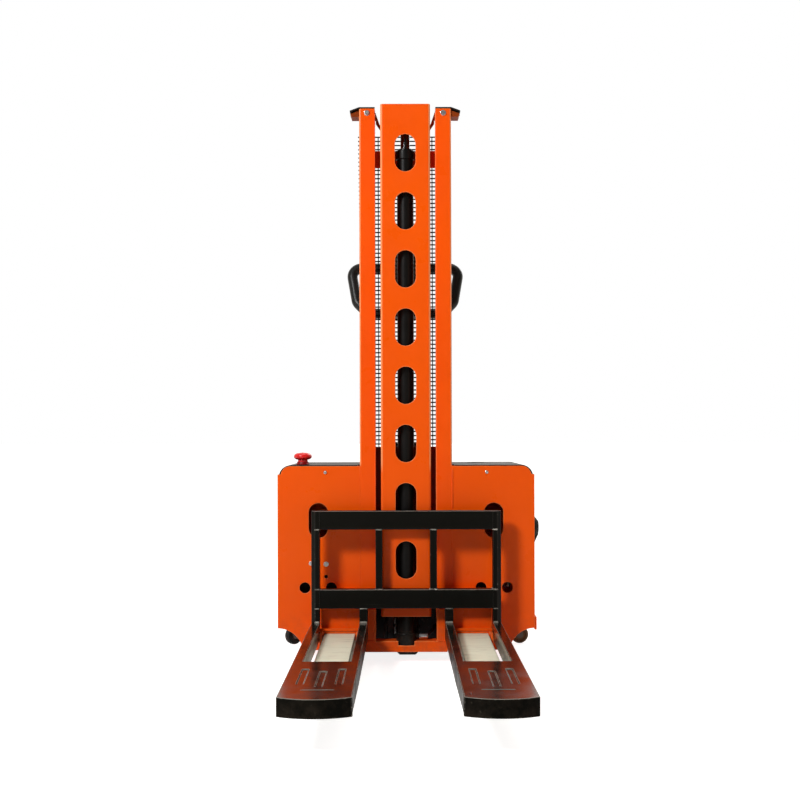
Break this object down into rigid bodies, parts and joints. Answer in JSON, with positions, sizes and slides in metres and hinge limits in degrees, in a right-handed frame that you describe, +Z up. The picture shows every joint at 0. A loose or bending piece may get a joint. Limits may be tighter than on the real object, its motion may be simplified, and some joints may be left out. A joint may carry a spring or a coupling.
{
  "type": "self-loading stacker",
  "caption": "Electric self-loading stacker: perforated lifting mast between fixed columns, forks over telescopic legs, drive wheel, casters and rear tiller.",
  "frame": {"origin": "on the floor below the middle of the machine's whole outline", "axes": "+Z up; the forks point to -Y and the tiller and casters are at +Y; +X is the side of the charging socket"},
  "size_m": [0.8115, 1.647, 1.681],
  "materials": {
    "orange_paint": "gloss powder coat",
    "black_paint": "satin black paint",
    "gloss_black_paint": "high gloss black paint",
    "ivory_paint": "ivory paint with drag marks",
    "dark_steel": "dark grey paint on cast and pressed steel",
    "zinc_steel": "zinc plated",
    "rod_steel": "black nitrided and oiled",
    "motor_black": "satin black motor paint",
    "tyre_black": "black tyre",
    "wheel_cream": "cream polyurethane",
    "grip_black": "soft textured black plastic",
    "lid_black": "fine textured black",
    "stop_red": "glossy red",
    "battery_case": "dark battery case",
    "hose_rubber": "wrapped rubber hose",
    "cast_alloy": "machined block"
  },
  "bodies": {
    "chassis": {"base_frame": "orange_paint", "drive_mount": "dark_steel", "mast_column_left": "orange_paint", "mast_column_right": "orange_paint", "mast_back_plate": "orange_paint", "mast_cross_member": "orange_paint", "mast_top_bracket": "orange_paint", "column_caps": "lid_black", "wire_guard": "black_paint", "lift_cylinder": "motor_black", "leg_sleeve_left": "orange_paint", "leg_sleeve_right": "orange_paint", "front_panel_left": "orange_paint", "front_panel_right": "orange_paint", "side_cover_left": "orange_paint", "side_cover_right": "orange_paint", "rear_cover": "orange_paint", "top_lid": "lid_black", "battery": "battery_case", "pump_motor": "dark_steel", "valve_block": "cast_alloy", "oil_tank": "black_paint", "controller": "dark_steel", "charger": "cast_alloy", "hydraulic_hose": "hose_rubber", "estop_base": "grip_black", "battery_gauge": "grip_black", "charge_socket": "grip_black", "caster_plates": "zinc_steel", "fasteners": "zinc_steel"},
    "lift_carriage": {"inner_mast": "orange_paint", "fork_frame": "black_paint", "fork_left": "gloss_black_paint", "fork_right": "gloss_black_paint", "lift_rod": "rod_steel"},
    "roller_low_left": {"guide_roller_low_left": "zinc_steel"},
    "roller_low_right": {"guide_roller_low_right": "zinc_steel"},
    "roller_high_left": {"guide_roller_high_left": "zinc_steel"},
    "roller_high_right": {"guide_roller_high_right": "zinc_steel"},
    "leg_left": {"leg_bar_left": "ivory_paint"},
    "leg_right": {"leg_bar_right": "ivory_paint"},
    "leg_roller_left": {"leg_wheel_left": "wheel_cream"},
    "leg_roller_right": {"leg_wheel_right": "wheel_cream"},
    "drive_turret": {"drive_gearbox": "dark_steel", "drive_motor": "motor_black", "tiller_base": "dark_steel"},
    "drive_tyre": {"drive_wheel": "tyre_black"},
    "tiller": {"tiller_arm": "black_paint", "tiller_head": "grip_black", "hand_loops": "grip_black"},
    "speed_control": {"throttle": "grip_black"},
    "reverse_button": {"belly_button": "stop_red"},
    "up_button": {"lift_button": "stop_red"},
    "down_button": {"lower_button": "stop_red"},
    "caster_left": {"caster_fork_left": "zinc_steel"},
    "caster_right": {"caster_fork_right": "zinc_steel"},
    "caster_roll_left": {"caster_wheel_left": "tyre_black"},
    "caster_roll_right": {"caster_wheel_right": "tyre_black"},
    "stop_button": {"estop_button": "stop_red"},
    "socket_cap": {"charge_cap": "grip_black"}
  },
  "joints": [
    {"name": "mast_lift", "type": "slide", "parent": "chassis", "child": "lift_carriage", "axis": [0, 0, 1], "range_m": [0, 1.3]},
    {"name": "roller_low_left_spin", "type": "hinge", "parent": "lift_carriage", "child": "roller_low_left", "pos_m": [-0.111, 0.421, 0.17], "axis": [1, 0, 0], "continuous": true},
    {"name": "roller_high_left_spin", "type": "hinge", "parent": "lift_carriage", "child": "roller_high_left", "pos_m": [-0.111, 0.421, 0.33], "axis": [1, 0, 0], "continuous": true},
    {"name": "roller_low_right_spin", "type": "hinge", "parent": "lift_carriage", "child": "roller_low_right", "pos_m": [0.111, 0.421, 0.17], "axis": [1, 0, 0], "continuous": true},
    {"name": "roller_high_right_spin", "type": "hinge", "parent": "lift_carriage", "child": "roller_high_right", "pos_m": [0.111, 0.421, 0.33], "axis": [1, 0, 0], "continuous": true},
    {"name": "leg_left_slide", "type": "slide", "parent": "chassis", "child": "leg_left", "axis": [0, 1, 0], "range_m": [0, 0.3]},
    {"name": "leg_right_slide", "type": "slide", "parent": "chassis", "child": "leg_right", "axis": [0, 1, 0], "range_m": [0, 0.3]},
    {"name": "leg_wheel_left_spin", "type": "hinge", "parent": "leg_left", "child": "leg_roller_left", "pos_m": [-0.198, -0.3565, 0.037], "axis": [1, 0, 0], "continuous": true},
    {"name": "leg_wheel_right_spin", "type": "hinge", "parent": "leg_right", "child": "leg_roller_right", "pos_m": [0.198, -0.3565, 0.037], "axis": [1, 0, 0], "continuous": true},
    {"name": "steering", "type": "hinge", "parent": "chassis", "child": "drive_turret", "pos_m": [0, 0.5085, 0], "axis": [0, 0, 1], "range_deg": [-75, 75]},
    {"name": "drive_wheel_spin", "type": "hinge", "parent": "drive_turret", "child": "drive_tyre", "pos_m": [0.004, 0.5085, 0.085], "axis": [1, 0, 0], "continuous": true},
    {"name": "tiller_tilt", "type": "hinge", "parent": "drive_turret", "child": "tiller", "pos_m": [0, 0.5585, 0.645], "axis": [-1, 0, 0], "range_deg": [0, 65], "stiffness_Nm_per_rad": 14, "springref_deg": -57.3},
    {"name": "speed_turn", "type": "hinge", "parent": "tiller", "child": "speed_control", "pos_m": [0, 0.73402, 1.1852], "axis": [1, 0, 0], "range_deg": [-30, 30], "stiffness_Nm_per_rad": 0.6},
    {"name": "reverse_push", "type": "slide", "parent": "tiller", "child": "reverse_button", "axis": [0, -0.309, -0.9511], "range_m": [0, 0.008], "stiffness_N_per_m": 600, "springref_m": -0.003},
    {"name": "lift_push", "type": "slide", "parent": "tiller", "child": "up_button", "axis": [0, -0.9511, 0.309], "range_m": [0, 0.004], "stiffness_N_per_m": 500, "springref_m": -0.002},
    {"name": "lower_push", "type": "slide", "parent": "tiller", "child": "down_button", "axis": [0, -0.9511, 0.309], "range_m": [0, 0.004], "stiffness_N_per_m": 500, "springref_m": -0.002},
    {"name": "caster_left_swivel", "type": "hinge", "parent": "chassis", "child": "caster_left", "pos_m": [-0.35, 0.7295, 0.06], "axis": [0, 0, 1], "continuous": true},
    {"name": "caster_left_spin", "type": "hinge", "parent": "caster_left", "child": "caster_roll_left", "pos_m": [-0.36802, 0.71688, 0.029], "axis": [-0.5736, 0.8192, 0], "continuous": true},
    {"name": "caster_right_swivel", "type": "hinge", "parent": "chassis", "child": "caster_right", "pos_m": [0.35, 0.7295, 0.06], "axis": [0, 0, 1], "continuous": true},
    {"name": "caster_right_spin", "type": "hinge", "parent": "caster_right", "child": "caster_roll_right", "pos_m": [0.372, 0.7295, 0.029], "axis": [0, -1, 0], "continuous": true},
    {"name": "stop_push", "type": "slide", "parent": "chassis", "child": "stop_button", "axis": [0, 0, -1], "range_m": [0, 0.005]},
    {"name": "cap_hinge", "type": "hinge", "parent": "chassis", "child": "socket_cap", "pos_m": [0.396, 0.5335, 0.341], "axis": [0, 1, 0], "range_deg": [0, 110], "stiffness_Nm_per_rad": 0.05, "springref_deg": -28.65}
  ],
  "couplings": [
    {"joint": "leg_right_slide", "follows": "leg_left_slide", "ratio": 1}
  ]
}
